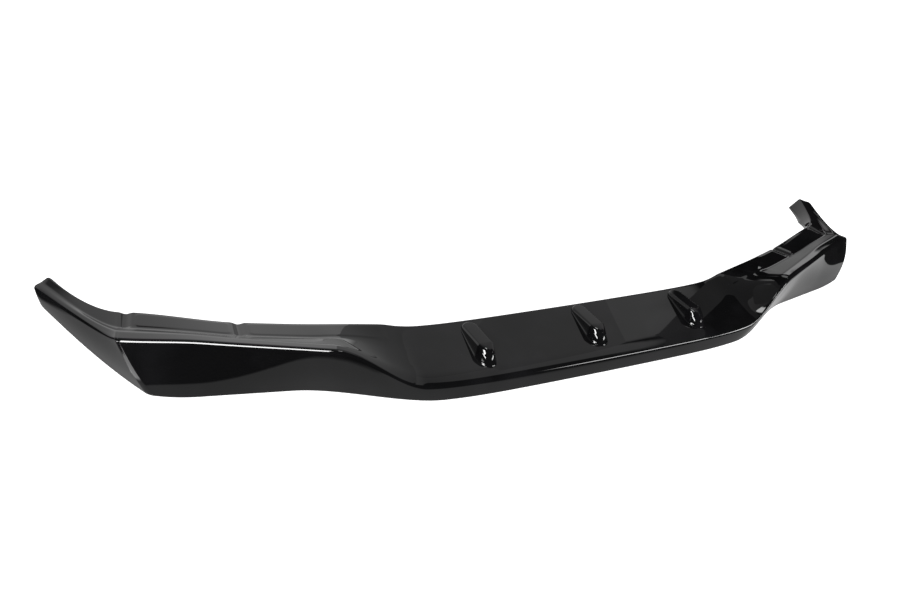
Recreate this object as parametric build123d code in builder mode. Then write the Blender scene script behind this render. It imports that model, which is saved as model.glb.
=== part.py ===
"""Front splitter lip: one moulded sheet, lofted through sections from wing tip to wing tip.

Units are millimetres. X runs across the car, -Y points to the front and +Z is up. The origin lies on
the centre line, in the middle of the flat of the turned-under bottom edge, which rests on Z = 0.
"""
import os
from math import atan, cos, degrees, hypot, radians, tan

from build123d import *

# Sheet and its bends
wall = 4.0
rear_bend = 5.0
ridge_bend = 7.5
bottom_bend = 5.0
tip_ridge_bend = 5.0
tip_bottom_bend = 5.0
bottom_return = 26.0
tip_return = 10.0

# Half lengths of the three long edges, up to the front corner of the wing
rear_half = 775.0
ridge_half = 802.0
bottom_half = 763.0

# Set-back of the long edges on the centre line
rear_set = 116.5
ridge_set = -15.5
bottom_set = -15.5

# Heights of the long edges at the centre, along the wing and at its front corner
centre_rear_height = 68.0
wing_rear_height = 71.5
corner_rear_height = 86.5
lip_height = 31.2
ridge_height = 96.5
corner_bottom_height = 9.5
rise_start = 690.0
bottom_trim = 0.4

# Sweep of the rear edge and of the ridge
rear_sweep = 0.318
rear_bend_at = 335.0
rear_softness = 75.0
ridge_sweep = 0.437
ridge_bend_at = 360.0
ridge_softness = 72.0

# Ridge drawn forward again towards the front corner of the wing
corner_forward = 10.8
corner_run = 120.0

# Sweep of the bottom edge, with a further step back beside the centre
bottom_sweep = 0.18
bottom_bend_at = 286.0
bottom_softness = 80.0
bottom_step = 57.5

# Where the top rises from the centre to the wing
ramp_start = 325.0
ramp_length = 60.0
curl_start = 355.0
curl_length = 145.0
step_start = 320.0
step_length = 230.0

# Form of the top, as offsets of two folds from the straight line between rear edge and ridge
pad_depth = 50.5
centre_fold = 1.5
wing_fold = -7.2
tip_fold = -0.8
crown_depth = 23.0
wing_crown_depth = 25.0
tip_crown_depth = 8.0
centre_crown = 6.8
wing_crown = 0.8
tip_crown = 0.5

# Bulge of the front face beyond the straight line between ridge and bottom edge
centre_bulge = 0.3
wing_bulge = 4.2
corner_bulge = 12.0
tip_bulge = 1.0

# Wing tip: end points of the long edges, points their curves are drawn to, and the turned-down flange
tip_rear = Vector(867.0, 379.0, 92.5)
tip_ridge = Vector(893.0, 360.5, 88.0)
tip_bottom = Vector(884.5, 361.5, 53.5)
rear_pull = Vector(822.0, 278.0, 79.5)
ridge_pull = Vector(811.0, 205.0, 78.5)
bottom_pull = Vector(816.0, 225.0, 11.0)
rear_flange_drop = 15.0
rear_flange_lean = 4.0
tip_flange_drop = 27.0
tip_flange_lean = 19.0

# Ribs on the centre
rib_pitch = 233.0
rib_width = 24.5
rib_rear = 109.0
rib_nose = 33.0
rib_top = 70.0
rib_depth = 36.0
rib_rake = 45.0
rib_draft = 12.0
rib_crown = 7.0

# Grooves pressed across the pads of the wing
groove_width = 15.0
groove_depth = 2.6
groove_shares = (0.785, 0.995)


def ease(share):
    """Smooth step from 0 to 1."""
    share = min(max(share, 0.0), 1.0)
    return share * share * (3 - 2 * share)


def swept(x, slope, bend_at, softness):
    """Set-back at x of a line that is straight at the centre and swept back beyond a soft bend."""

    def run(at):
        return slope * (hypot(at - bend_at, softness) + at - bend_at) / 2

    return run(x) - run(0)


def rear_point(x):
    height = centre_rear_height + (wing_rear_height - centre_rear_height) * ease((x - ramp_start) / ramp_length)
    height += (corner_rear_height - wing_rear_height) * ease((x - 600) / 175)
    return Vector(x, rear_set + swept(x, rear_sweep, rear_bend_at, rear_softness), height)


def ridge_point(x):
    height = lip_height + (ridge_height - lip_height) * ease((x - curl_start) / curl_length)
    forward = corner_forward * ease((x - ridge_half + corner_run) / corner_run)
    return Vector(x, ridge_set + swept(x, ridge_sweep, ridge_bend_at, ridge_softness) - forward, height)


def bottom_point(x):
    back = bottom_set + swept(x, bottom_sweep, bottom_bend_at, bottom_softness)
    back += bottom_step * ease((x - step_start) / step_length)
    rise = max(0.0, (x - rise_start) / (bottom_half - rise_start)) ** 2
    return Vector(x, back, (corner_bottom_height + bottom_trim) * rise - bottom_trim)


def bow(start, pull, end, share):
    """Point of the curve from start to end that is drawn towards pull."""
    return start * (1 - share) ** 2 + pull * (2 * share * (1 - share)) + end * share**2


class Station:
    """One cross section of the sheet, in the plane through a point of each long edge."""

    def __init__(self, side, rear, ridge, bottom, wing, corner, tip):
        self.rear, self.ridge, self.bottom = (Vector(side * p.X, p.Y, p.Z) for p in (rear, ridge, bottom))
        across = (self.ridge - self.rear).cross(self.bottom - self.rear).normalized()
        level = across.cross(Vector(0, 0, 1)).normalized()
        if level.dot(self.ridge - self.rear) < 0:
            level = level * -1
        self.rise = across.cross(level).normalized()
        if self.rise.Z < 0:
            self.rise = self.rise * -1
        self.plane = Plane(origin=self.rear, x_dir=level, z_dir=level.cross(self.rise))
        self.wing, self.corner, self.tip = wing, corner, tip

    def blend(self, centre, wing, tip):
        """Value between its sizes at the centre, the wing and the tip."""
        middle = centre + (wing - centre) * self.wing
        return middle + (tip - middle) * self.tip

    def local(self, point):
        spot = self.plane.to_local_coords(point)
        return Vector(spot.X, spot.Y)

    def path(self):
        """Corners of the outer face, from the rear flange over the top and down to the bottom return."""
        ridge, bottom = self.local(self.ridge), self.local(self.bottom)
        slope = ridge.Y / ridge.X
        flange = min(1.0, 1.8 * self.tip)
        drop = rear_flange_drop + (tip_flange_drop - rear_flange_drop) * flange
        lean = rear_flange_lean + (tip_flange_lean - rear_flange_lean) * flange
        fold = min(pad_depth, ridge.X / 2)
        crown = ridge.X - self.blend(crown_depth, wing_crown_depth, tip_crown_depth)
        down = (bottom - ridge).normalized()
        side_bulge = wing_bulge + (corner_bulge - wing_bulge) * self.corner
        bulge = Vector(-down.Y, down.X) * self.blend(centre_bulge, side_bulge, tip_bulge)
        return [
            Vector(-lean, -drop / self.rise.Z),
            Vector(0, 0),
            Vector(fold, fold * slope + self.blend(centre_fold, wing_fold, tip_fold)),
            Vector(crown, crown * slope + self.blend(centre_crown, wing_crown, tip_crown)),
            ridge,
            (ridge + bottom) / 2 + bulge,
            bottom,
            Vector(bottom.X - self.blend(bottom_return, bottom_return, tip_return), bottom.Y),
        ]

    def bends(self, path):
        """Radius at each corner of the path. The folds of the top and the front keep an even bend length."""
        front_reach = 0.36 * (path[6] - path[4]).length - 6
        folds = []
        for k, reach in ((2, self.blend(10, 8, 3.2)), (3, self.blend(7, 5, 2.8)), (5, front_reach)):
            turn = (path[k] - path[k - 1]).get_angle(path[k + 1] - path[k])
            folds.append(reach / tan(radians(turn / 2)))
        ridge = self.blend(ridge_bend, ridge_bend, tip_ridge_bend)
        bottom = self.blend(bottom_bend, bottom_bend, tip_bottom_bend)
        return [rear_bend, folds[0], folds[1], ridge, folds[2], bottom]

    def section(self):
        """Face of the sheet, one wall thick."""
        outer = self.path()
        outer_bends = self.bends(outer)
        inner, inner_bends = inner_path(outer, outer_bends, wall)
        with BuildSketch(self.plane) as sheet:
            with BuildLine():
                trace(outer, outer_bends)
                Line(outer[-1], inner[-1])
                trace(inner[::-1], inner_bends[::-1])
                Line(inner[0], outer[0])
            make_face()
        return sheet.sketch

    def end_plate(self):
        """Face filled from the rear flange to the bottom return, up to the middle of the sheet."""
        outer = self.path()
        middle, middle_bends = inner_path(outer, self.bends(outer), wall / 2)
        with BuildSketch(self.plane) as filled:
            with BuildLine():
                trace(middle, middle_bends)
                Line(middle[-1], middle[0])
            make_face()
        return filled.sketch


def inner_path(path, bends, depth):
    """The same path further in by the depth, with the bends that keep the distance even."""
    steps = [(b - a).normalized() for a, b in zip(path, path[1:])]
    inward = [Vector(step.Y, -step.X) for step in steps]
    spots = [path[0] + inward[0] * depth]
    radii = []
    for k, bend in enumerate(bends):
        both = inward[k] + inward[k + 1]
        spots.append(path[k + 1] + both * (depth / (1 + inward[k].dot(inward[k + 1]))))
        hollow = steps[k].cross(steps[k + 1]).Z > 0
        radii.append(bend + depth if hollow else bend - depth)
    spots.append(path[-1] + inward[-1] * depth)
    return spots, radii


def trace(path, bends):
    """Draw a path as straight runs joined by round bends."""
    start = path[0]
    for before, at, after, bend in zip(path, path[1:], path[2:], bends):
        into, out = (at - before).normalized(), (after - at).normalized()
        half_turn = radians(into.get_angle(out) / 2)
        first = at - into * (bend * tan(half_turn))
        last = at + out * (bend * tan(half_turn))
        Line(start, first)
        ThreePointArc(first, at + (out - into).normalized() * (bend / cos(half_turn) - bend), last)
        start = last
    Line(start, path[-1])


def wing_station(share):
    """Station at a signed share of the half length, up to the front corner of the wing."""
    size = abs(share)
    edges = rear_point(size * rear_half), ridge_point(size * ridge_half), bottom_point(size * bottom_half)
    wing, corner = ease((size * ridge_half - 330) / 150), ease((size - 0.6) / 0.4)
    return Station(-1 if share < 0 else 1, *edges, wing, corner, 0.0)


def tip_station(side, share):
    """Station at a share of the way from the front corner to the tip."""
    rear = bow(rear_point(rear_half), rear_pull, tip_rear, share)
    ridge = bow(ridge_point(ridge_half), ridge_pull, tip_ridge, share)
    bottom = bow(bottom_point(bottom_half), bottom_pull, tip_bottom, share)
    return Station(side, rear, ridge, bottom, 1.0, 1.0, ease(share))


def rib_slot(depth, inset):
    """Outline of the rib at a depth below its top, inset by a distance square to its faces."""
    rake, draft = radians(rib_rake), radians(rib_draft)
    nose = rib_nose - depth * tan(rake) + inset / cos(rake)
    rear = rib_rear + depth * tan(draft) - inset / cos(draft)
    width = rib_width + 2 * (depth * tan(draft) - inset / cos(draft))
    with BuildSketch(Plane.XY.offset(rib_top - depth)) as slot:
        with Locations((0, (rear + nose) / 2)):
            SlotOverall(rear - nose, width, rotation=90)
    return slot.sketch


def rib_body(inset):
    """Level rib with drafted sides and a raked round nose, or the hollow in it when inset by one wall."""
    with BuildPart() as body:
        loft([rib_slot(rib_depth, inset), rib_slot(inset, inset)], ruled=True)
        fillet(body.faces().sort_by(Axis.Z)[-1].edges(), rib_crown - inset)
    return body.part


def rib_shell():
    """Rib cut off inside the sheet, along the slope of the centre top."""
    section = wing_station(0.0)
    path = section.path()
    slope = degrees(atan(-path[3].Y / path[3].X))
    sheet_middle = Plane(section.rear - Vector(0, 0, 0.75 * wall)).rotated((slope, 0, 0))
    with BuildPart() as shell:
        add(rib_body(0))
        split(bisect_by=sheet_middle, keep=Keep.TOP)
    return shell.part


def groove(side, share, inset):
    """Trough pressed in a pad from the rear edge to the fold, or the bead under it one wall further in."""
    section = wing_station(side * share)
    fold = section.path()[2]
    front = section.plane.from_local_coords(Vector(fold.X, fold.Y, 0))
    along = (front - section.rear).normalized()
    across = Vector(0, 0, 1).cross(along).normalized()
    radius = (groove_width**2 / 4 + groove_depth**2) / (2 * groove_depth)
    start = section.rear if inset else section.rear - along * rear_bend * 2
    with BuildPart() as trough:
        with BuildSketch(Plane(start, x_dir=across, z_dir=along)):
            with Locations((0, radius - groove_depth)):
                Circle(radius + inset)
            if inset:
                with Locations((0, 2 * radius - wall / 2)):
                    Rectangle(4 * radius, 4 * radius, mode=Mode.SUBTRACT)
        extrude(amount=(front - start).length)
    return trough.part


wing_shares = [0.07, 0.14, 0.21, 0.275, 0.335, 0.39, 0.44, 0.485, 0.53, 0.575, 0.625]
wing_shares += [0.68, 0.74, 0.8, 0.86, 0.91, 0.955, 1.0]
tip_shares = [0.0, 0.2, 0.42, 0.7, 1.0]

with BuildPart() as splitter_lip:
    # Centre and wings in one loft
    shares = [-share for share in reversed(wing_shares)] + [0.0] + wing_shares
    loft([wing_station(share).section() for share in shares])

    # Tips with closed ends, ribs, and beads that keep the wall even under the grooves
    raised = [Pos(x, 0, 0) * rib_shell() for x in (-rib_pitch, 0, rib_pitch)]
    hollows = [Pos(x, 0, 0) * rib_body(wall) for x in (-rib_pitch, 0, rib_pitch)]
    for side in (-1, 1):
        raised.append(loft([tip_station(side, share).section() for share in tip_shares], mode=Mode.PRIVATE))
        raised.append(extrude(tip_station(side, 1.0).end_plate(), amount=side * wall, mode=Mode.PRIVATE))
        raised += [groove(side, share, wall) for share in groove_shares]
        hollows += [groove(side, share, 0) for share in groove_shares]
    add(raised)
    add(hollows, mode=Mode.SUBTRACT)

    # Bottom edge trimmed level
    split(bisect_by=Plane.XY, keep=Keep.TOP)

splitter_lip.part.label = "splitter_lip"
os.makedirs("parts", exist_ok=True)
export_step(splitter_lip.part, "parts/splitter_lip.step")
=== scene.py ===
"""Looks of a front splitter lip: one smooth sheet of gloss black plastic with ribs, pads and grooves."""

import logging
import math
from dataclasses import dataclass, field
from enum import Enum, IntEnum
from typing import Any, Sequence, Union

import bpy
import numpy as np
from mathutils import Matrix, Vector


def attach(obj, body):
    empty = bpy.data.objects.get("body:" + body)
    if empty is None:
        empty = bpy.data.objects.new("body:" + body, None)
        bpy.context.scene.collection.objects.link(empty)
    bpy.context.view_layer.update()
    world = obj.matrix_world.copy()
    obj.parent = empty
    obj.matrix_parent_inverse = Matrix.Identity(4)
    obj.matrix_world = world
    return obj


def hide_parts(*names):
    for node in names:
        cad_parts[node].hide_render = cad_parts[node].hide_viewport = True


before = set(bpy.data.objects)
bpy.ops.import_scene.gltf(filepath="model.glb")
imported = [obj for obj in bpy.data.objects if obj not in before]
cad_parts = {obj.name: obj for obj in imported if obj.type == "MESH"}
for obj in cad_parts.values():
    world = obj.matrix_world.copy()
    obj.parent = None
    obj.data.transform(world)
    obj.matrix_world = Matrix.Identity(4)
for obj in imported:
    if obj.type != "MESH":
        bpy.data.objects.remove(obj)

LOG = logging.getLogger("splitter_lip")
MM = 0.001
WHITE = (1.0, 1.0, 1.0, 1.0)
PLASTIC_IOR = 1.5

Span = tuple[float, float]
Trio = tuple[float, float, float]
Colour = tuple[float, float, float, float]
Amount = Union[float, np.ndarray]


class Zone(Enum):
    """Material zones of the sheet."""

    OUTSIDE = 0
    UNDERSIDE = 1


class Bend(IntEnum):
    """Bends across a section of the sheet, from the rear edge to the bottom edge."""

    REAR = 0
    FOLD = 1
    CROWN = 2
    RIDGE = 3
    FRONT = 4
    BOTTOM = 5


class RayKind(Enum):
    """Outputs of the Light Path node that the stage tells apart."""

    CAMERA = "Is Camera Ray"
    GLOSSY = "Is Glossy Ray"


# Node wiring


class Value:
    """Output of a node that takes part in maths written as Python expressions."""

    def __init__(self, wiring: "Wiring", socket: bpy.types.NodeSocket) -> None:
        """Keep the tree's wiring and the wrapped socket."""
        self.wiring = wiring
        self.socket = socket

    def __add__(self, other: "Term") -> "Value":
        """Sum of two values."""
        return self.wiring.maths("ADD", self, other)

    def __radd__(self, other: "Term") -> "Value":
        """Sum with a number on the left."""
        return self.wiring.maths("ADD", other, self)

    def __sub__(self, other: "Term") -> "Value":
        """Difference of two values."""
        return self.wiring.maths("SUBTRACT", self, other)

    def __rsub__(self, other: "Term") -> "Value":
        """Difference with a number on the left."""
        return self.wiring.maths("SUBTRACT", other, self)

    def __mul__(self, other: "Term") -> "Value":
        """Product of two values."""
        return self.wiring.maths("MULTIPLY", self, other)

    def __rmul__(self, other: "Term") -> "Value":
        """Product with a number on the left."""
        return self.wiring.maths("MULTIPLY", other, self)


Term = Union[Value, float, int]


class Wiring:
    """Adds nodes to one tree, sets them up and links them."""

    def __init__(self, tree: bpy.types.NodeTree) -> None:
        """Start from an empty tree."""
        self.tree = tree
        tree.nodes.clear()

    def node(
        self,
        kind: str,
        settings: dict[str, Any] | None = None,
        inputs: dict[Union[str, int], Any] | None = None,
    ) -> bpy.types.Node:
        """Add one node.

        Args:
            kind: Blender's type name of the node.
            settings: Properties that are set first.
            inputs: Values or links by the input's name or number.

        Returns:
            The new node.
        """
        made = self.tree.nodes.new(kind)
        for name, setting in (settings or {}).items():
            setattr(made, name, setting)
        for name, given in (inputs or {}).items():
            socket = made.inputs[name]
            if isinstance(given, Value):
                self.tree.links.new(given.socket, socket)
            else:
                socket.default_value = given
        return made

    def out(self, made: bpy.types.Node, name: Union[str, int] = 0) -> Value:
        """Wrap one output of a node."""
        return Value(self, made.outputs[name])

    def maths(self, operation: str, *terms: Term) -> Value:
        """Add a Math node for one operation on values or numbers."""
        made = self.node("ShaderNodeMath", {"operation": operation}, dict(enumerate(terms)))
        return self.out(made)

    def step(self, value: Term, low: float, high: float) -> Value:
        """Smooth step of a value from 0 at low to 1 at high."""
        limits = {"Value": value, "From Min": low, "From Max": high}
        return self.out(self.node("ShaderNodeMapRange", {"interpolation_type": "SMOOTHSTEP"}, limits))

    def window(self, value: Value, span: Span, soft: float) -> Value:
        """Mask of a value between two limits, with soft edges."""
        low, high = span
        return self.step(value, low - soft, low + soft) * (1 - self.step(value, high - soft, high + soft))

    def axes(self, vector: Value) -> tuple[Value, Value, Value]:
        """Split a vector into its three parts."""
        made = self.node("ShaderNodeSeparateXYZ", None, {0: vector})
        return self.out(made, 0), self.out(made, 1), self.out(made, 2)

    def join(self, x: Term = 0.0, y: Term = 0.0, z: Term = 0.0) -> Value:
        """Make a vector from its three parts."""
        return self.out(self.node("ShaderNodeCombineXYZ", None, {"X": x, "Y": y, "Z": z}))

    def place(self, kind: str) -> Value:
        """Coordinates of the shaded point, of one kind of the Texture Coordinate node."""
        return self.out(self.node("ShaderNodeTexCoord"), kind)

    def noise(self, place: Value, scale: float, detail: float) -> Value:
        """Strength of a noise at a place."""
        made = self.node("ShaderNodeTexNoise", None, {"Vector": place, "Scale": scale, "Detail": detail})
        return self.out(made, "Fac")

    def mix(self, factor: Term, first: Any, second: Any) -> Value:
        """Mix two colours by a factor."""
        made = self.node("ShaderNodeMix", {"data_type": "RGBA"}, {0: factor, 6: first, 7: second})
        return self.out(made, 2)

    def glow(self, strength: Term) -> Value:
        """White light of a strength."""
        return self.out(self.node("ShaderNodeEmission", None, {"Color": WHITE, "Strength": strength}))

    def choose(self, factor: Value, first: Value, second: Value) -> Value:
        """Mix two shaders by a factor."""
        return self.out(self.node("ShaderNodeMixShader", None, {0: factor, 1: first, 2: second}))

    def surface(self, shader: Value) -> None:
        """End a material's tree in a shader."""
        self.node("ShaderNodeOutputMaterial", None, {"Surface": shader})


def new_material(name: str) -> tuple[bpy.types.Material, Wiring]:
    """Add a material with an empty node tree.

    Args:
        name: Name of the material.

    Returns:
        The material and the wiring of its tree.
    """
    made = bpy.data.materials.new(name)
    made.use_nodes = True
    return made, Wiring(made.node_tree)


def new_object(mesh: bpy.types.Mesh) -> bpy.types.Object:
    """Add an object for a mesh to the scene, under the mesh's name.

    Args:
        mesh: The finished mesh.

    Returns:
        The object, at the origin.
    """
    made = bpy.data.objects.new(mesh.name, mesh)
    bpy.context.scene.collection.objects.link(made)
    return made


# Form of the sheet


def ease(share: Amount) -> Amount:
    """Smooth step from 0 to 1."""
    share = np.clip(share, 0.0, 1.0)
    return share * share * (3 - 2 * share)


def climb(place: float, span: Span) -> float:
    """Smooth step from 0 to 1 that starts at a span's first number and runs for its second."""
    return ease((place - span[0]) / span[1])


@dataclass(frozen=True)
class SoftSweep:
    """A long edge in plan: straight at the centre and swept back beyond a soft bend."""

    set_back: float
    slope: float
    bend_at: float
    softness: float

    def run(self, x: float) -> float:
        """Height of the hyperbola that the sweep follows."""
        return self.slope * (math.hypot(x - self.bend_at, self.softness) + x - self.bend_at) / 2

    def at(self, x: float) -> float:
        """Set-back of the edge at a distance from the centre line."""
        return self.set_back + self.run(x) - self.run(0)


@dataclass(frozen=True)
class Tip:
    """End points of the three long edges at a wing tip and the points that their curves are drawn to."""

    rear: Trio = (867.0, 379.0, 94.0)
    ridge: Trio = (893.0, 360.5, 88.0)
    bottom: Trio = (884.5, 361.5, 49.5)
    rear_pull: Trio = (822.0, 278.0, 79.5)
    ridge_pull: Trio = (811.0, 205.0, 78.5)
    bottom_pull: Trio = (816.0, 225.0, 11.0)
    length: float = 205.0


@dataclass
class Section:
    """One cross section of the sheet, in the plane through a point of each long edge."""

    rear: np.ndarray
    ridge: np.ndarray
    bottom: np.ndarray
    wing: float
    corner: float
    tip: float
    level: np.ndarray = field(init=False)
    rise: np.ndarray = field(init=False)

    def __post_init__(self) -> None:
        """Work out the plane's level and rising directions."""
        across = np.cross(self.ridge - self.rear, self.bottom - self.rear)
        across /= np.linalg.norm(across)
        level = np.cross(across, (0.0, 0.0, 1.0))
        level /= np.linalg.norm(level)
        if level @ (self.ridge - self.rear) < 0:
            level = -level
        rise = np.cross(across, level)
        self.level = level
        self.rise = rise if rise[2] > 0 else -rise

    def blend(self, centre: float, wing: float, tip: float) -> float:
        """Value between its sizes at the centre, the wing and the tip."""
        middle = centre + (wing - centre) * self.wing
        return middle + (tip - middle) * self.tip

    def local(self, point: np.ndarray) -> np.ndarray:
        """Coordinates of a point in the section's plane."""
        return np.array(((point - self.rear) @ self.level, (point - self.rear) @ self.rise))

    def place(self, flat: np.ndarray) -> np.ndarray:
        """Points of the section's plane in the lip's frame."""
        return self.rear + flat[:, :1] * self.level + flat[:, 1:] * self.rise


@dataclass
class SheetForm:
    """Sizes of the moulded sheet in millimetres and the points of its outer face.

    A field with three sizes gives those at the centre, the wing and the tip. A span that something
    changes over gives its start and its length.
    """

    wall: float = 4.0
    rear_bend: float = 5.0
    ridge_bend: float = 7.5
    tip_ridge_bend: float = 5.0
    bottom_bend: float = 5.0
    bottom_return: float = 26.0
    tip_return: float = 10.0
    rear_half: float = 775.0
    ridge_half: float = 802.0
    bottom_half: float = 763.0
    centre_rear_height: float = 68.0
    wing_rear_height: float = 71.5
    corner_rear_height: float = 86.5
    lip_height: float = 31.2
    ridge_height: float = 96.5
    corner_bottom_height: float = 9.5
    rise_start: float = 690.0
    rear_sweep: SoftSweep = SoftSweep(116.5, 0.318, 335.0, 75.0)
    ridge_sweep: SoftSweep = SoftSweep(-15.5, 0.437, 360.0, 72.0)
    bottom_sweep: SoftSweep = SoftSweep(-15.5, 0.18, 286.0, 80.0)
    corner_forward: float = 10.8
    corner_run: float = 120.0
    front_bulges: tuple[float, float, float, float] = (0.3, 4.2, 12.0, 1.0)
    front_reach: Span = (0.36, 6.0)
    bottom_step: float = 57.5
    ramp: Span = (325.0, 60.0)
    wing_lift: Span = (600.0, 175.0)
    crest_height: float = 2.4
    crest_rise: Span = (355.0, 35.0)
    crest_fall: Span = (400.0, 130.0)
    curl: Span = (355.0, 145.0)
    step: Span = (320.0, 230.0)
    wing_change: Span = (395.0, 130.0)
    corner_change: Span = (0.6, 0.4)
    pad_depth: float = 50.5
    fold_offsets: Trio = (1.5, -7.2, -0.8)
    crown_depths: Trio = (15.0, 25.0, 8.0)
    crown_offsets: Trio = (4.4, 0.8, 0.5)
    fold_reach: Trio = (10.0, 5.0, 2.6)
    crown_reach: Trio = (10.0, 5.0, 2.8)
    rear_flange: Span = (15.0, 4.0)
    tip_flange: Span = (27.0, 19.0)
    flange_haste: float = 1.8
    corner_round: Trio = (7.0, 11.0, 6.0)
    corner_least: float = 0.02
    corner_samples: tuple[int, int] = (15, 25)
    end_round: float = 9.0
    end_inset: float = 0.09
    pad_start: float = 395.0
    pad_margin: float = 3.0
    pad_overrun: float = 2.0
    pad_height: float = 0.6
    pad_bevel: float = 5.0
    pad_corner: float = 9.0
    pad_corner_share: float = 0.8
    groove_shares: Span = (0.785, 0.995)
    groove_width: float = 22.0
    groove_rim: float = 1.0
    groove_depth: float = 3.2
    groove_stop: float = 1.0
    groove_fade: float = 5.0
    groove_behind: float = 30.0
    tip_form: Tip = Tip()
    run_points: tuple[int, ...] = (3, 26, 14, 5, 4, 4, 3)
    bend_points: tuple[int, ...] = (8, 5, 5, 11, 8, 8)
    wing_stations: tuple[tuple[float, int], ...] = (
        (312.0, 22),
        (520.0, 50),
        (606.0, 10),
        (652.0, 26),
        (768.0, 13),
    )
    corner_stations: tuple[int, int, int] = (16, 26, 16)
    tip_stations: tuple[int, int] = (26, 9)
    tip_bend: float = 40.0

    @property
    def end(self) -> float:
        """Distance along the ridge line from the centre to the end of a tip."""
        return self.ridge_half + self.tip_form.length

    @property
    def groove_half(self) -> float:
        """Half the width of a groove with its rim."""
        return self.groove_width / 2 + self.groove_rim

    def rear_point(self, x: float) -> np.ndarray:
        """Point of the rear edge.

        Args:
            x: Distance from the centre line.

        Returns:
            The point in millimetres.
        """
        height = self.centre_rear_height
        height += (self.wing_rear_height - self.centre_rear_height) * climb(x, self.ramp)
        height += (self.corner_rear_height - self.wing_rear_height) * climb(x, self.wing_lift)
        height += self.crest_height * climb(x, self.crest_rise) * (1 - climb(x, self.crest_fall))
        return np.array((x, self.rear_sweep.at(x), height))

    def ridge_point(self, x: float) -> np.ndarray:
        """Point of the ridge, or of the front crease at the centre.

        Args:
            x: Distance from the centre line.

        Returns:
            The point in millimetres.
        """
        height = self.lip_height + (self.ridge_height - self.lip_height) * climb(x, self.curl)
        forward = self.corner_forward * climb(x, (self.ridge_half - self.corner_run, self.corner_run))
        return np.array((x, self.ridge_sweep.at(x) - forward, height))

    def bottom_point(self, x: float) -> np.ndarray:
        """Point of the bottom edge.

        Args:
            x: Distance from the centre line.

        Returns:
            The point in millimetres.
        """
        back = self.bottom_sweep.at(x) + self.bottom_step * climb(x, self.step)
        rise = max(0.0, (x - self.rise_start) / (self.bottom_half - self.rise_start)) ** 2
        return np.array((x, back, self.corner_bottom_height * rise))

    def section(self, along: float) -> Section:
        """Section at a distance along the ridge line from the centre.

        Args:
            along: Distance in millimetres. Beyond the ridge's half length it runs along the tip.

        Returns:
            The section of the sheet there.
        """
        share = along / self.ridge_half
        if share <= 1:
            return Section(
                self.rear_point(share * self.rear_half),
                self.ridge_point(along),
                self.bottom_point(share * self.bottom_half),
                climb(along, self.wing_change),
                climb(share, self.corner_change),
                0.0,
            )
        tip = self.tip_form
        share = min((along - self.ridge_half) / tip.length, 1.0)
        return Section(
            self.bow(self.rear_point(self.rear_half), tip.rear_pull, tip.rear, share),
            self.bow(self.ridge_point(self.ridge_half), tip.ridge_pull, tip.ridge, share),
            self.bow(self.bottom_point(self.bottom_half), tip.bottom_pull, tip.bottom, share),
            1.0,
            1.0,
            ease(share),
        )

    @staticmethod
    def bow(start: np.ndarray, pull: Sequence[float], end: Sequence[float], share: float) -> np.ndarray:
        """Point of the curve from start to end that is drawn towards pull."""
        middle = np.array(pull) * (2 * share * (1 - share))
        return start * (1 - share) ** 2 + middle + np.array(end) * share**2

    def path(self, cut: Section) -> np.ndarray:
        """Corners of a section's outer face, from the rear flange to the bottom return.

        Args:
            cut: The section.

        Returns:
            The corners in the section's plane, with one for each bend between the two ends.
        """
        ridge, bottom = cut.local(cut.ridge), cut.local(cut.bottom)
        slope = ridge[1] / ridge[0]
        flange = min(1.0, self.flange_haste * cut.tip)
        drop = self.rear_flange[0] + (self.tip_flange[0] - self.rear_flange[0]) * flange
        lean = self.rear_flange[1] + (self.tip_flange[1] - self.rear_flange[1]) * flange
        fold = min(self.pad_depth, ridge[0] / 2)
        crown = ridge[0] - cut.blend(*self.crown_depths)
        hem = cut.blend(self.bottom_return, self.bottom_return, self.tip_return)
        centre, wing, corner, tip = self.front_bulges
        down = (bottom - ridge) / np.linalg.norm(bottom - ridge)
        bulge = cut.blend(centre, wing + (corner - wing) * cut.corner, tip)
        ahead = np.array((-down[1], down[0])) * bulge
        return np.array(
            (
                (-lean, -drop / cut.rise[2]),
                (0.0, 0.0),
                (fold, fold * slope + cut.blend(*self.fold_offsets)),
                (crown, crown * slope + cut.blend(*self.crown_offsets)),
                ridge,
                (ridge + bottom) / 2 + ahead,
                bottom,
                (bottom[0] - hem, bottom[1]),
            )
        )

    def bend_reach(self, cut: Section, path: np.ndarray, steps: np.ndarray) -> dict[Bend, float]:
        """How far each bend of a section reaches from its corner.

        Args:
            cut: The section.
            path: Corners of its outer face.
            steps: Directions from corner to corner.

        Returns:
            The distances in millimetres.
        """
        share, less = self.front_reach
        front = path[Bend.BOTTOM + 1] - path[Bend.RIDGE + 1]
        reach = {
            Bend.FOLD: cut.blend(*self.fold_reach),
            Bend.CROWN: cut.blend(*self.crown_reach),
            Bend.FRONT: share * float(np.linalg.norm(front)) - less,
        }
        radii = {
            Bend.REAR: self.rear_bend,
            Bend.RIDGE: cut.blend(self.ridge_bend, self.ridge_bend, self.tip_ridge_bend),
            Bend.BOTTOM: self.bottom_bend,
        }
        for bend, radius in radii.items():
            reach[bend] = radius * math.tan(self.turn(steps[bend], steps[bend + 1]) / 2)
        return reach

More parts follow.
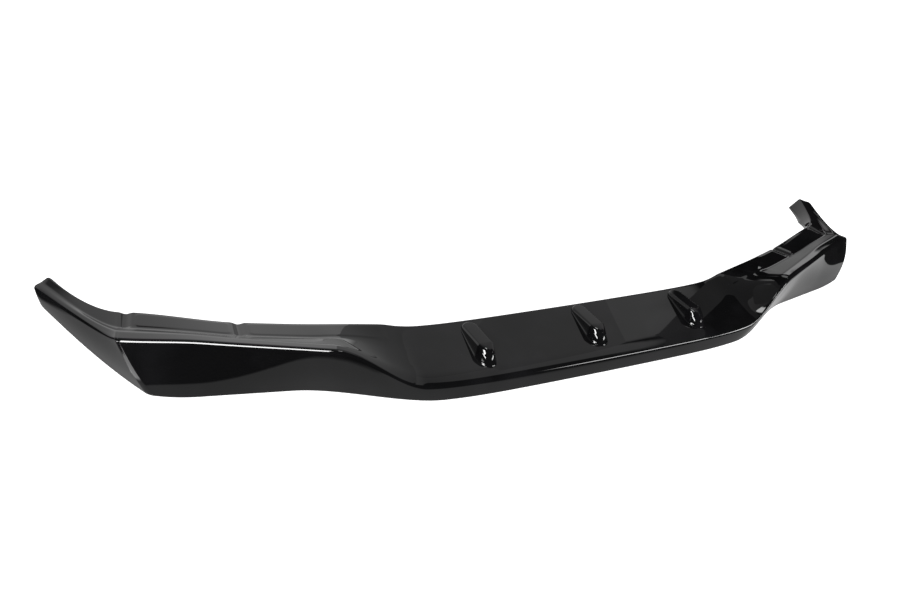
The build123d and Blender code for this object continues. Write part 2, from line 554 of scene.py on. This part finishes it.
    def face_points(self, along: float) -> np.ndarray:
        """Points of the outer face across one section, from the rear flange to the bottom return.

        Args:
            along: Distance along the ridge line from the centre.

        Returns:
            The points in the lip's frame, in millimetres.
        """
        cut = self.section(along)
        path = self.path(cut)
        steps = np.diff(path, axis=0)
        steps /= np.linalg.norm(steps, axis=1)[:, None]
        reach = self.bend_reach(cut, path, steps)
        flat: list[np.ndarray] = []
        start = path[0]
        for bend in Bend:
            corner = path[bend + 1]
            first = corner - steps[bend] * reach[bend]
            last = corner + steps[bend + 1] * reach[bend]
            shares = np.linspace(0, 1, self.run_points[bend], endpoint=False)
            flat += [start + (first - start) * share for share in shares]
            flat += self.bend(first, corner, last, self.bend_points[bend])
            start = last
        flat += [start + (path[-1] - start) * share for share in np.linspace(0, 1, self.run_points[-1])]
        return cut.place(np.array(flat))

    @staticmethod
    def turn(into: np.ndarray, out: np.ndarray) -> float:
        """Angle between two directions of a path."""
        return math.acos(min(1.0, max(-1.0, float(into @ out))))

    @staticmethod
    def bend(first: np.ndarray, corner: np.ndarray, last: np.ndarray, count: int) -> list[np.ndarray]:
        """Points of the round bend between two tangent points, without its last point.

        Args:
            first: Point where the bend starts.
            corner: Point that the two runs beside the bend aim at.
            last: Point where the bend ends.
            count: Number of points.

        Returns:
            The points in the section's plane.
        """
        into, out = corner - first, last - corner
        half = SheetForm.turn(into / np.linalg.norm(into), out / np.linalg.norm(out)) / 2
        weight = math.cos(half)
        spots = []
        for s in np.linspace(0, 1, count, endpoint=False):
            shares = np.array(((1 - s) ** 2, 2 * s * (1 - s) * weight, s * s))
            spots.append((shares[0] * first + shares[1] * corner + shares[2] * last) / shares.sum())
        return spots

    def rounded_points(self, along: float) -> np.ndarray:
        """Points across one section, with the front corner of the wing and the end of the tip rounded.

        Args:
            along: Distance along the ridge line from the centre.

        Returns:
            The points in the lip's frame, in millimetres.
        """
        reach = max(self.corner_round)
        beside = abs(along - self.ridge_half)
        if along > self.end - self.end_round:
            share = (along - self.end + self.end_round) / self.end_round
            points = self.padded_points(along)
            shrink = self.end_inset * (1 - math.sqrt(max(0.0, 1 - share * share)))
            return points + (points.mean(axis=0) - points) * shrink
        if beside >= reach:
            return self.padded_points(along)
        spread = self.corner_spread()
        rounded = np.zeros((len(spread), 3))
        shifts = np.linspace(-1, 1, self.corner_samples[0])
        offsets = np.linspace(-reach, reach, self.corner_samples[1])
        nearby = np.array([self.padded_points(along + offset) for offset in offsets])
        for row, width in enumerate(spread):
            local = min(width, reach - beside + width * self.corner_least)
            for axis in range(3):
                rounded[row, axis] = np.interp(shifts * local, offsets, nearby[:, row, axis]).mean()
        return rounded

    def corner_spread(self) -> np.ndarray:
        """Half width of the front corner's round at each row of the grid.

        Returns:
            The half widths in millimetres, from the rear edge to the bottom.
        """
        rear, ridge, bottom = self.corner_round
        before = sum(self.run_points[: Bend.RIDGE + 1]) + sum(self.bend_points[: Bend.RIDGE])
        before += self.bend_points[Bend.RIDGE] // 2
        after = sum(self.run_points) + sum(self.bend_points) - before
        return np.concatenate((np.linspace(rear, ridge, before), np.linspace(ridge, bottom, after)))

    def padded_points(self, along: float) -> np.ndarray:
        """Points across one section, with the wing's pads raised a little above their rims.

        Args:
            along: Distance along the ridge line from the centre.

        Returns:
            The points in the lip's frame, in millimetres.
        """
        points = self.face_points(along)
        bent = self.bend_points[Bend.REAR]
        first = self.run_points[Bend.REAR] + bent
        rows = slice(first, first + self.run_points[Bend.FOLD])
        across = np.linalg.norm(points[rows] - points[first - bent // 2], axis=1)
        half_depth = (float(across[-1]) + self.pad_overrun - self.pad_margin) / 2
        corner = min(self.pad_corner, half_depth * self.pad_corner_share)
        ahead = np.abs(across - self.pad_margin - half_depth) - half_depth + corner
        lift = np.zeros(len(across))
        for start, end in self.pads():
            beside = abs(along - (start + end) / 2) - (end - start) / 2 + corner
            inside = corner - np.hypot(max(0.0, beside), np.maximum(0.0, ahead))
            lift = np.maximum(lift, ease(inside / self.pad_bevel))
        points[rows, 2] += self.pad_height * lift
        return points

    def pads(self) -> tuple[Span, Span]:
        """First and last place of each pad along the ridge line of one wing."""
        inner, outer = (share * self.ridge_half for share in self.groove_shares)
        gap = self.groove_half
        return (self.pad_start, inner - gap), (inner + gap, outer - gap)

    def stations(self) -> list[float]:
        """Distances along the ridge from the centre to the tip, close together where the sheet bends.

        Returns:
            The distances in millimetres.
        """
        reach = max(self.corner_round) + 1
        before, around, after = self.corner_stations
        tip, last = self.tip_stations
        spans = self.wing_stations + (
            (self.ridge_half - reach, before),
            (self.ridge_half + reach, around),
            (self.ridge_half + self.tip_bend, after),
            (self.end - self.end_round, tip),
            (self.end, last),
        )
        places: list[float] = []
        low = 0.0
        for high, count in spans:
            places += list(np.linspace(low, high, count, endpoint=False))
            low = high
        return places + [self.end]

    def outer_grid(self) -> np.ndarray:
        """Points of the whole outer face.

        Returns:
            The points by station from one tip to the other and then across, in millimetres.
        """
        half = np.array([self.rounded_points(along) for along in self.stations()])
        half = self.press_grooves(half)
        other = half[:0:-1] * np.array((-1.0, 1.0, 1.0))
        return np.concatenate((other, half))

    def press_grooves(self, grid: np.ndarray) -> np.ndarray:
        """Press the troughs of the wing's pads into a grid of the outer face.

        Args:
            grid: Points of one half of the face, by station and then across.

        Returns:
            The points with the troughs in them.
        """
        pressed = grid.copy()
        half = self.groove_half
        for share in self.groove_shares:
            cut = self.section(share * self.ridge_half)
            start, end = cut.place(self.path(cut)[[Bend.REAR + 1, Bend.FOLD + 1]])
            run = (end - start)[:2]
            length = float(np.linalg.norm(run))
            ahead = run / length
            away = grid[:, :, :2] - start[:2]
            forward = away @ ahead
            beside = np.abs(away[..., 0] * ahead[1] - away[..., 1] * ahead[0])
            trough = np.where(beside < half, np.cos(beside * math.pi / (2 * half)), 0)
            fade = ease((length - self.groove_stop - forward) / self.groove_fade)
            fade = fade * (forward > -self.groove_behind)
            pressed[..., 2] -= self.groove_depth * trough**2 * fade
        return pressed


# Finishes


def plastic(wiring: Wiring, colour: Value, roughness: Value, bump: dict[str, Any]) -> None:
    """Wire a plastic's shader into a material.

    Args:
        wiring: Wiring of the material's tree.
        colour: Its colour over the surface.
        roughness: Its roughness over the surface.
        bump: Inputs of the Bump node that gives its fine relief.
    """
    relief = wiring.out(wiring.node("ShaderNodeBump", None, bump))
    shader = wiring.node(
        "ShaderNodeBsdfPrincipled",
        None,
        {"Base Color": colour, "Roughness": roughness, "IOR": PLASTIC_IOR, "Normal": relief},
    )
    wiring.surface(wiring.out(shader))


@dataclass(frozen=True)
class GlossBlack:
    """Gloss black plastic as it leaves the mould: deep black with a faint waviness in its reflections.

    The cloud and the wave are a noise's scale and detail.
    """

    colour: Colour = (0.003, 0.003, 0.0032, 1.0)
    haze: Colour = (0.005, 0.005, 0.0055, 1.0)
    haze_from: Span = (0.4, 0.7)
    roughness: Span = (0.02, 0.04)
    rough_from: Span = (0.45, 0.75)
    cloud: Span = (14.0, 4.0)
    wave: Span = (26.0, 1.0)
    wave_height: float = 0.00004

    def material(self) -> bpy.types.Material:
        """Build the material.

        Returns:
            The finished material.
        """
        made, wiring = new_material("gloss_black")
        place = wiring.place("Object")
        cloud = wiring.noise(place, *self.cloud)
        wave = wiring.noise(place, *self.wave)
        low, high = self.roughness
        plastic(
            wiring,
            wiring.mix(wiring.step(cloud, *self.haze_from), self.colour, self.haze),
            low + (high - low) * wiring.step(cloud, *self.rough_from),
            {"Strength": 1.0, "Distance": self.wave_height, "Height": wave},
        )
        return made


@dataclass(frozen=True)
class SatinBlack:
    """Back of the sheet, which never touched the polished mould.

    The cloud and the grain are a noise's scale and detail.
    """

    colour: Colour = (0.010, 0.010, 0.0105, 1.0)
    haze: Colour = (0.016, 0.016, 0.017, 1.0)
    haze_from: Span = (0.35, 0.7)
    roughness: float = 0.42
    rough_gain: float = 0.12
    cloud: Span = (9.0, 3.0)
    grain: Span = (900.0, 2.0)
    grain_strength: float = 0.4
    grain_height: float = 0.0002

    def material(self) -> bpy.types.Material:
        """Build the material.

        Returns:
            The finished material.
        """
        made, wiring = new_material("satin_black")
        place = wiring.place("Object")
        cloud = wiring.noise(place, *self.cloud)
        grain = wiring.noise(place, *self.grain)
        plastic(
            wiring,
            wiring.mix(wiring.step(cloud, *self.haze_from), self.colour, self.haze),
            self.roughness + self.rough_gain * cloud,
            {"Strength": self.grain_strength, "Distance": self.grain_height, "Height": grain},
        )
        return made


# Sub-assemblies


@dataclass
class Sheet:
    """The moulded sheet with its wall thickness."""

    form: SheetForm
    outside: bpy.types.Material
    underside: bpy.types.Material

    def face_mesh(self) -> bpy.types.Mesh:
        """Mesh of the outer face alone.

        Returns:
            The mesh, open along its edges.
        """
        grid = self.form.outer_grid() * MM
        columns, rows = grid.shape[:2]
        faces = []
        for i in range(columns - 1):
            for j in range(rows - 1):
                a = i * rows + j
                faces.append((a, a + 1, a + rows + 1, a + rows))
        mesh = bpy.data.meshes.new("sheet_face")
        mesh.from_pydata(grid.reshape(-1, 3).tolist(), [], faces)
        mesh.shade_smooth()
        return mesh

    def build(self) -> bpy.types.Object:
        """Build the sheet as one closed shell.

        Returns:
            The sheet's object, at the origin.
        """
        face = new_object(self.face_mesh())
        finishes = {Zone.OUTSIDE: self.outside, Zone.UNDERSIDE: self.underside}
        for zone in Zone:
            face.data.materials.append(finishes[zone])
        thick = face.modifiers.new("wall", "SOLIDIFY")
        thick.thickness = self.form.wall * MM
        thick.offset = -1
        thick.material_offset = Zone.UNDERSIDE.value
        return bake(face, "splitter_sheet")


@dataclass
class Ribs:
    """Level ribs on the centre, with raked round noses, set into the sheet with a soft fold at the foot.

    Sizes are in millimetres and leans in degrees. Where there are two depths, they are those of the rear
    and the nose, and the two nose crowns are those beside it and in front.
    """

    outside: bpy.types.Material
    count: int = 3
    pitch: float = 233.0
    width: float = 28.5
    rear: float = 109.0
    nose: float = 14.5
    top: float = 70.0
    depths: Span = (30.0, 62.0)
    levels: int = 42
    crown: float = 5.0
    nose_crowns: Span = (13.0, 30.0)
    rake: float = 9.0
    draft: float = 10.0
    fold: float = 5.0
    fold_share: float = 0.8
    sink: float = 0.06
    ray_start: float = 300.0
    ray_length: float = 1000.0
    rear_steps: int = 24
    side_steps: int = 14
    nose_steps: int = 36

    def blank(self) -> bpy.types.Mesh:
        """Mesh of one rib that reaches well below the sheet.

        Returns:
            The mesh, open at the bottom.
        """
        columns = [self.column(*spot) for spot in self.outline()]
        ring, levels = len(columns), len(columns[0])
        verts = [column[i] for i in range(levels) for column in columns]
        faces = []
        for i in range(levels - 1):
            for j in range(ring):
                a, b = i * ring + j, i * ring + (j + 1) % ring
                faces.append((a, a + ring, b + ring, b))
        mesh = bpy.data.meshes.new("rib_blank")
        mesh.from_pydata([Vector(v) * MM for v in verts], [], faces)
        mesh.shade_smooth()
        mesh.materials.append(self.outside)
        return mesh

    @staticmethod
    def spread(down: float, crown: float, lean: float) -> float:
        """How far a leaning wall with a round top edge lies outside the wall's top line, at a depth.

        Args:
            down: Depth below the top.
            crown: Radius of the round top edge.
            lean: Lean of the wall in degrees from upright.

        Returns:
            The distance in millimetres, below zero along the round edge.
        """
        turn = math.radians(lean)
        if down >= crown * (1 - math.sin(turn)):
            return down * math.tan(turn)
        return crown * (math.tan(turn) - 1 / math.cos(turn) + math.sqrt(1 - (1 - down / crown) ** 2))

    def column(self, x: float, y: float, share: float) -> list[Trio]:
        """Points of the rib's face from the middle of its top down one side.

        Args:
            x: Outward direction across the rib.
            y: Outward direction along the rib, below zero at the nose.
            share: Place along the rib, from 0 at the round rear end to 1 where the nose begins.

        Returns:
            The points from the top's middle line to well below the sheet.
        """
        beside, front = self.nose_crowns
        run = -self.spread(0.0, front, self.rake)
        rear, nose = self.rear - self.width / 2, self.nose + run
        middle = rear + (nose - rear) * share
        deep = self.depths[0] + (self.depths[1] - self.depths[0]) * share
        spots = [(0.0, middle, self.top)]
        for k in range(self.levels):
            down = deep * (k / (self.levels - 1)) ** 2
            side = self.width / 2 + self.spread(down, self.crown, self.draft)
            ahead = side
            if y < 0:
                ahead = run + self.spread(down, front, self.rake)
                side += (self.width / 2 + self.spread(down, beside, self.draft) - side) * y * y
            spots.append((x * side, middle + y * ahead, self.top - down))
        return spots

    @staticmethod
    def half_turn(start: float, steps: int, share: float) -> list[Trio]:
        """Outward directions over half a turn, all at one place along the rib."""
        angles = [start + math.pi * k / steps for k in range(steps + 1)]
        return [(math.cos(angle), math.sin(angle), share) for angle in angles]

    def outline(self) -> list[Trio]:
        """Outward directions around the rib, each with its place along the rib.

        Returns:
            The two parts of each direction and the place, from 0 at the rear to 1 at the nose.
        """
        sides = [k / self.side_steps for k in range(1, self.side_steps)]
        spots = self.half_turn(0.0, self.rear_steps, 0.0)
        spots += [(-1.0, 0.0, share) for share in sides]
        spots += self.half_turn(math.pi, self.nose_steps, 1.0)
        spots += [(1.0, 0.0, 1 - share) for share in sides]
        return spots

    def tree(self, sheet: bpy.types.Object) -> bpy.types.NodeTree:
        """Node tree that repeats the blank across the centre and settles each rib on the sheet.

        Args:
            sheet: The finished sheet.

        Returns:
            The tree, with named inputs for its sizes.
        """
        tree = bpy.data.node_groups.new("rib_row", "GeometryNodeTree")
        face = tree.interface
        face.new_socket("Geometry", in_out="INPUT", socket_type="NodeSocketGeometry")
        face.new_socket("Count", in_out="INPUT", socket_type="NodeSocketInt")
        for name in ("Pitch", "Top", "Fold", "Fold Share"):
            face.new_socket(name, in_out="INPUT", socket_type="NodeSocketFloat")
        face.new_socket("Finish", in_out="INPUT", socket_type="NodeSocketMaterial")
        face.new_socket("Geometry", in_out="OUTPUT", socket_type="NodeSocketGeometry")
        wiring = Wiring(tree)
        given = wiring.node("NodeGroupInput")
        pitch, fold = wiring.out(given, "Pitch"), wiring.out(given, "Fold")
        count = wiring.out(given, "Count")
        line = wiring.node(
            "GeometryNodeMeshLine",
            {"mode": "OFFSET"},
            {
                "Count": count,
                "Start Location": wiring.join((1 - count) * pitch * 0.5),
                "Offset": wiring.join(pitch),
            },
        )
        row = wiring.node(
            "GeometryNodeInstanceOnPoints",
            None,
            {"Points": wiring.out(line), "Instance": wiring.out(given, "Geometry")},
        )
        real = wiring.node("GeometryNodeRealizeInstances", None, {"Geometry": wiring.out(row)})
        x, y, z = wiring.axes(wiring.out(wiring.node("GeometryNodeInputPosition")))
        target = wiring.node("GeometryNodeObjectInfo", {"transform_space": "ORIGINAL"}, {"Object": sheet})
        ray = wiring.node(
            "GeometryNodeRaycast",
            None,
            {
                "Target Geometry": wiring.out(target, "Geometry"),
                "Source Position": wiring.join(x, y, self.ray_start * MM),
                "Ray Direction": (0.0, 0.0, -1.0),
                "Ray Length": self.ray_length * MM,
            },
        )
        ground = wiring.axes(wiring.out(ray, "Hit Position"))[2]
        rise = wiring.out(given, "Top") - ground
        softness = wiring.maths("MAXIMUM", fold, rise * wiring.out(given, "Fold Share"))
        height = wiring.maths("SMOOTH_MAX", z, ground - self.sink * MM, softness)
        moved = wiring.node(
            "GeometryNodeSetPosition",
            None,
            {"Geometry": wiring.out(real), "Position": wiring.join(x, y, height)},
        )
        dressed = wiring.node(
            "GeometryNodeSetMaterial",
            None,
            {"Geometry": wiring.out(moved), "Material": wiring.out(given, "Finish")},
        )
        wiring.node("NodeGroupOutput", None, {"Geometry": wiring.out(dressed)})
        return tree

    def build(self, sheet: bpy.types.Object) -> bpy.types.Object:
        """Build the row of ribs on the sheet.

        Args:
            sheet: The finished sheet, which the ribs settle on.

        Returns:
            The ribs' object, at the origin.
        """
        blank = new_object(self.blank())
        tree = self.tree(sheet)
        row = blank.modifiers.new("rib_row", "NODES")
        row.node_group = tree
        sizes = {
            "Count": self.count,
            "Pitch": self.pitch * MM,
            "Top": self.top * MM,
            "Fold": self.fold * MM,
            "Fold Share": self.fold_share,
            "Finish": self.outside,
        }
        for item in tree.interface.items_tree:
            if item.in_out == "INPUT" and item.name in sizes:
                row[item.identifier] = sizes[item.name]
        return bake(blank, "splitter_ribs")


@dataclass
class EndPlates:
    """Closed ends of the two wing tips, set in from the end and from the rim of the sheet."""

    form: SheetForm
    underside: bpy.types.Material
    depths: Span = (1.0, 3.5)
    inset: float = 0.06

    def rim(self, side: int, depth: float) -> list[list[float]]:
        """Rim of one face of an end plate.

        Args:
            side: 1 for the right tip and -1 for the left.
            depth: Distance from the end of the tip in millimetres.

        Returns:
            The points of the rim in metres.
        """
        points = self.form.face_points(self.form.end - depth)
        inner = points + (points.mean(axis=0) - points) * self.inset
        return (inner * np.array((side, 1, 1)) * MM).tolist()

    def build(self) -> bpy.types.Object:
        """Build both end plates as one object.

        Returns:
            The plates' object, at the origin.
        """
        verts: list[list[float]] = []
        faces: list[list[int]] = []
        for side in (1, -1):
            outer, inner = (self.rim(side, depth) for depth in self.depths)
            base, count = len(verts), len(outer)
            verts += outer + inner
            first = list(range(base, base + count))
            second = list(range(base + count, base + 2 * count))
            plate = [first, second[::-1]]
            for j in range(count):
                k = (j + 1) % count
                plate.append([first[j], second[j], second[k], first[k]])
            faces += plate if side > 0 else [face[::-1] for face in plate]
        mesh = bpy.data.meshes.new("end_plates")
        mesh.from_pydata(verts, [], faces)
        mesh.materials.append(self.underside)
        return new_object(mesh)


def bake(source: bpy.types.Object, name: str) -> bpy.types.Object:
    """Turn an object with modifiers into a plain mesh.

    Args:
        source: The object to evaluate. It is removed.
        name: Name of the new object and its mesh.

    Returns:
        The new object, at the origin.
    """
    graph = bpy.context.evaluated_depsgraph_get()
    mesh = bpy.data.meshes.new_from_object(source.evaluated_get(graph), depsgraph=graph)
    mesh.name = name
    bpy.data.objects.remove(source)
    return new_object(mesh)


# Stage, in metres


@dataclass(frozen=True)
class Panel:
    """A bright part of the studio, between two bearings and two heights in degrees, with soft edges."""

    around: Span
    height: Span
    level: Span
    soft: Span

    def strength(self, wiring: Wiring, around: Value, height: Value) -> Value:
        """Brightness in a direction, from the panel's first level at the bottom to its second at the top.

        Args:
            wiring: Wiring of the world's tree.
            around: Bearing of the direction in degrees.
            height: Height of the direction in degrees.

        Returns:
            The brightness, 0 beside the panel.
        """
        wide, tall = self.soft
        first, last = self.level
        inside = wiring.window(around, self.around, wide) * wiring.window(height, self.height, tall)
        return inside * (first + (last - first) * wiring.step(height, *self.height))


@dataclass(frozen=True)
class Card:
    """A flat card that shows only in reflections, on the side from which its corners run anticlockwise."""

    name: str
    corners: tuple[Trio, ...]
    level: float

    @classmethod
    def upright(cls, name: str, start: Span, end: Span, heights: Span, level: float) -> "Card":
        """Card that stands upright.

        Args:
            name: Name of the card.
            start: Place of its left side, seen from the side that shows.
            end: Place of its right side.
            heights: Heights of its lower and upper edge.
            level: Its brightness.

        Returns:
            The card.
        """
        low, high = heights
        return cls(name, ((*start, low), (*end, low), (*end, high), (*start, high)), level)

    def build(self) -> None:
        """Stand the card on the stage."""
        mesh = bpy.data.meshes.new(self.name)
        mesh.from_pydata(self.corners, [], [tuple(range(len(self.corners)))])
        paint, wiring = new_material(self.name)
        back = wiring.out(wiring.node("ShaderNodeNewGeometry"), "Backfacing")
        clear = wiring.out(wiring.node("ShaderNodeBsdfTransparent"))
        wiring.surface(wiring.choose(back, wiring.glow(self.level), clear))
        mesh.materials.append(paint)
        made = new_object(mesh)
        made.visible_camera = False
        made.visible_diffuse = False
        made.visible_transmission = False
        made.visible_volume_scatter = False
        made.visible_shadow = False


@dataclass(frozen=True)
class Lamp:
    """A soft lamp, which stays out of the reflections."""

    name: str
    place: Trio
    target: Trio
    size: Span
    watts: float

    def build(self) -> None:
        """Hang the lamp."""
        data = bpy.data.lights.new(self.name, "AREA")
        data.shape = "RECTANGLE"
        data.size, data.size_y = self.size
        data.energy = self.watts
        made = bpy.data.objects.new(self.name, data)
        made.location = self.place
        away = Vector(self.place) - Vector(self.target)
        made.rotation_euler = away.to_track_quat("Z", "Y").to_euler()
        made.visible_camera = False
        made.visible_glossy = False
        bpy.context.scene.collection.objects.link(made)


@dataclass(frozen=True)
class Floor:
    """Pale floor, which reflections see with a painted pool of light around the lip and a painted stripe
    of light beyond its left tip, both glowing from the floor itself rather than lit by a lamp.

    The bays set the pool's front edge back on the left: by how much, and where each starts and ends. The
    gains make the pool brighter to the right in the same way. The slant is a slope and where it starts.
    """

    half: float = 8.0
    height: float = -MM
    colour: Colour = (0.8, 0.8, 0.8, 1.0)
    camera_glow: float = 0.9
    dim: float = 0.02
    # The pool and stripe sizes below shape painted light: the floor's own glow in reflections, in place of
    # lamp light falling on it.
    pool_front: float = -0.05
    pool_bays: tuple[Trio, ...] = ((0.04, 0.38, 0.46), (0.08, 0.5, 0.7))
    pool_slant: Span = (0.12, 0.315)
    pool_soft: float = 0.006
    pool_left: Span = (-0.955, -0.935)
    pool_right: Span = (1.07, 1.11)
    pool_level: float = 0.42
    pool_gains: tuple[Trio, ...] = ((0.2, 0.4, 0.65), (0.4, 0.7, 1.0))
    stripe_level: float = 3.5
    stripe_place: Span = (-0.82, 0.13)
    stripe_slope: float = 0.54
    stripe_spread: float = 0.15
    stripe_edge: Span = (0.045, 0.055)
    stripe_start: Span = (0.81, 0.83)
    stripe_end: Span = (-2.6, -2.5)

    def pool(self, wiring: Wiring, x: Value, y: Value) -> Value:
        """Brightness of the painted pool of light at a place.

        Args:
            wiring: Wiring of the floor's material.
            x: Distance to the right.
            y: Distance to the rear.

        Returns:
            The brightness, 0 outside the pool.
        """
        slope, start = self.pool_slant
        edge = slope * wiring.maths("MAXIMUM", x - start, 0.0) + self.pool_front
        for back, low, high in self.pool_bays:
            edge = edge + back * wiring.step(0.0 - x, low, high)
        level: Term = self.pool_level
        for gain, low, high in self.pool_gains:
            level = level + gain * wiring.step(x, low, high)
        ends = wiring.step(x, *self.pool_left) * (1 - wiring.step(x, *self.pool_right))
        return wiring.step(y - edge, -self.pool_soft, self.pool_soft) * ends * level

    # Painted light: a glowing stripe on the floor that the left tip's corner reflects.
    def stripe(self, wiring: Wiring, x: Value, y: Value) -> Value:
        """Brightness of the painted stripe of light beyond the left tip at a place.

        Args:
            wiring: Wiring of the floor's material.
            x: Distance to the right.
            y: Distance to the rear.

        Returns:
            The brightness, 0 beside the stripe.
        """
        start, middle = self.stripe_place
        beyond = start - x
        aside = wiring.maths("ABSOLUTE", y - middle + self.stripe_slope * beyond)
        inside = 1 - wiring.step(aside - self.stripe_spread * beyond, *self.stripe_edge)
        ends = wiring.step(x, *self.stripe_end) * wiring.step(0.0 - x, *self.stripe_start)
        return self.stripe_level * (inside * ends)

    def build(self) -> None:
        """Lay the floor."""
        mesh = bpy.data.meshes.new("floor")
        corners = [(-1, -1), (1, -1), (1, 1), (-1, 1)]
        verts = [(x * self.half, y * self.half, self.height) for x, y in corners]
        mesh.from_pydata(verts, [], [(0, 1, 2, 3)])
        paint, wiring = new_material("floor_paint")
        seen = wiring.out(wiring.node("ShaderNodeLightPath"), RayKind.CAMERA.value)
        x, y, _ = wiring.axes(wiring.place("Object"))
        # In reflections the floor glows with painted light: a faint level everywhere, plus the painted
        # pool and the painted stripe of light.
        painted_floor_light = wiring.glow(self.dim + (self.pool(wiring, x, y) + self.stripe(wiring, x, y)))
        matt = wiring.out(wiring.node("ShaderNodeBsdfDiffuse", None, {"Color": self.colour}))
        white = wiring.glow(self.camera_glow)
        bright = wiring.out(wiring.node("ShaderNodeAddShader", None, {0: matt, 1: white}))
        wiring.surface(wiring.choose(seen, painted_floor_light, bright))
        mesh.materials.append(paint)
        made = new_object(mesh)


@dataclass
class Studio:
    """The camera, the world with its panels, the floor, the lamps and the cards."""

    camera_place: Trio = (-0.96301, -1.00746, 0.87252)
    azimuth: float = -32.52
    elevation: float = 30.16
    roll: float = 9.388
    lens: float = 35.0
    sensor: float = 36.0
    plain_level: float = 0.7
    gap_level: float = 0.012
    panels: tuple[Panel, ...] = (
        Panel((-58.0, 31.0), (-10.0, 47.0), (1.0, 0.85), (5.0, 3.0)),
        Panel((-58.0, 36.0), (44.0, 95.0), (0.18, 0.2), (5.0, 3.0)),
        Panel((34.0, 66.0), (39.5, 95.0), (0.58, 0.25), (4.0, 1.0)),
        Panel((64.0, 101.5), (49.5, 95.0), (0.6, 0.25), (2.0, 1.2)),
        Panel((31.0, 45.0), (-10.0, 14.0), (0.35, 0.45), (2.0, 1.5)),
        Panel((44.0, 56.0), (11.0, 16.3), (0.5, 1.2), (2.0, 0.7)),
        Panel((39.0, 45.5), (24.0, 34.0), (0.9, 0.9), (1.5, 1.5)),
        Panel((-128.0, -104.0), (11.0, 17.0), (25.0, 25.0), (1.0, 1.0)),
        Panel((112.0, 146.0), (10.0, 19.0), (16.0, 16.0), (2.0, 2.0)),
        Panel((85.0, 140.0), (77.0, 84.0), (9.0, 9.0), (1.0, 1.0)),
    )
    floor: Floor = Floor()
    lamps: tuple[Lamp, ...] = (
        Lamp("lamp_left", (-1.94, -1.99, 0.93), (-0.5, 0.1, 0.09), (0.9, 0.7), 60.0),
        Lamp("lamp_right", (1.75, -1.9, 0.6), (0.2, 0.0, 0.03), (0.6, 0.9), 60.0),
    )
    cards: tuple[Card, ...] = (
        Card(
            "strip_light",
            ((-0.745, -0.5, 0.66), (-1.4, -0.5, 0.40), (-1.4, -0.5, 1.7), (-0.745, -0.5, 1.7)),
            28.0,
        ),
        Card.upright("side_light", (0.669, -0.15), (0.603, -0.224), (0.18, 0.55), 16.0),
        Card.upright("rear_card", (-0.33, 0.4), (0.34, 0.4), (0.14, 0.66), 0.45),
        Card.upright("inner_card", (0.1, 0.35), (0.1, 0.03), (0.1, 0.64), 0.45),
        Card.upright("pad_flag", (0.56, 0.31), (0.56, 0.19), (0.08, 0.14), 0.004),
        Card(
            "dark_flag",
            (
                (0.5, 0.195, 0.11),
                (0.5, -0.25, 0.11),
                (0.5, -0.25, 0.31),
                (0.5, 0.14, 0.31),
                (0.5, 0.14, 0.14),
                (0.5, 0.195, 0.14),
            ),
            0.004,
        ),
        Card.upright("grey_flag", (0.501, 0.195), (0.501, -0.25), (0.165, 0.46), 0.13),
    )

    def camera(self) -> None:
        """Place the camera."""
        data = bpy.data.cameras.new("camera")
        data.lens = self.lens
        data.sensor_width = self.sensor
        made = bpy.data.objects.new("camera", data)
        turn = math.radians(self.azimuth)
        tilt = math.radians(self.elevation)
        level = math.cos(tilt)
        ahead = Vector((-math.sin(turn) * level, math.cos(turn) * level, -math.sin(tilt)))
        right = ahead.cross(Vector((0, 0, 1))).normalized()
        up = right.cross(ahead)
        basis = Matrix((right, up, -ahead)).transposed()
        spin = Matrix.Rotation(math.radians(-self.roll), 3, ahead)
        made.matrix_world = Matrix.Translation(self.camera_place) @ (spin @ basis).to_4x4()
        bpy.context.scene.collection.objects.link(made)
        bpy.context.scene.camera = made

    def world(self) -> None:
        """Even light, with a studio's panels and dark gaps for reflections and white to the camera."""
        world = bpy.data.worlds.new("studio")
        bpy.context.scene.world = world
        world.use_nodes = True
        wiring = Wiring(world.node_tree)
        x, y, z = wiring.axes(wiring.place("Generated"))
        around = wiring.maths("DEGREES", wiring.maths("ARCTAN2", x, y))
        height = wiring.maths("DEGREES", wiring.maths("ARCSINE", z))
        room: Term = self.gap_level
        for panel in self.panels:
            room = wiring.maths("MAXIMUM", room, panel.strength(wiring, around, height))
        path = wiring.node("ShaderNodeLightPath")
        seen = wiring.out(path, RayKind.CAMERA.value)
        mirrored = wiring.out(path, RayKind.GLOSSY.value)
        plain = self.plain_level * (1 - mirrored) + mirrored * room
        light = seen + (1 - seen) * plain
        shade = wiring.node("ShaderNodeBackground", None, {"Color": WHITE, "Strength": light})
        wiring.node("ShaderNodeOutputWorld", None, {"Surface": wiring.out(shade)})

    def build(self) -> None:
        """Set up the stage."""
        self.camera()
        self.world()
        self.floor.build()
        for thing in self.lamps + self.cards:
            thing.build()


def main() -> None:
    """Build the lip and its stage."""
    logging.basicConfig(level=logging.INFO)
    bpy.context.scene.view_settings.view_transform = "Standard"
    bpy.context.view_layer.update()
    outside = GlossBlack().material()
    underside = SatinBlack().material()
    form = SheetForm()
    sheet = Sheet(form, outside, underside).build()
    ribs = Ribs(outside).build(sheet)
    plates = EndPlates(form, underside).build()
    for piece in (sheet, ribs, plates):
        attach(piece, "root")
        LOG.info("%s has %d faces", piece.name, len(piece.data.polygons))
    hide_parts("splitter_lip")
    Studio().build()


if __name__ == "__main__":
    main()
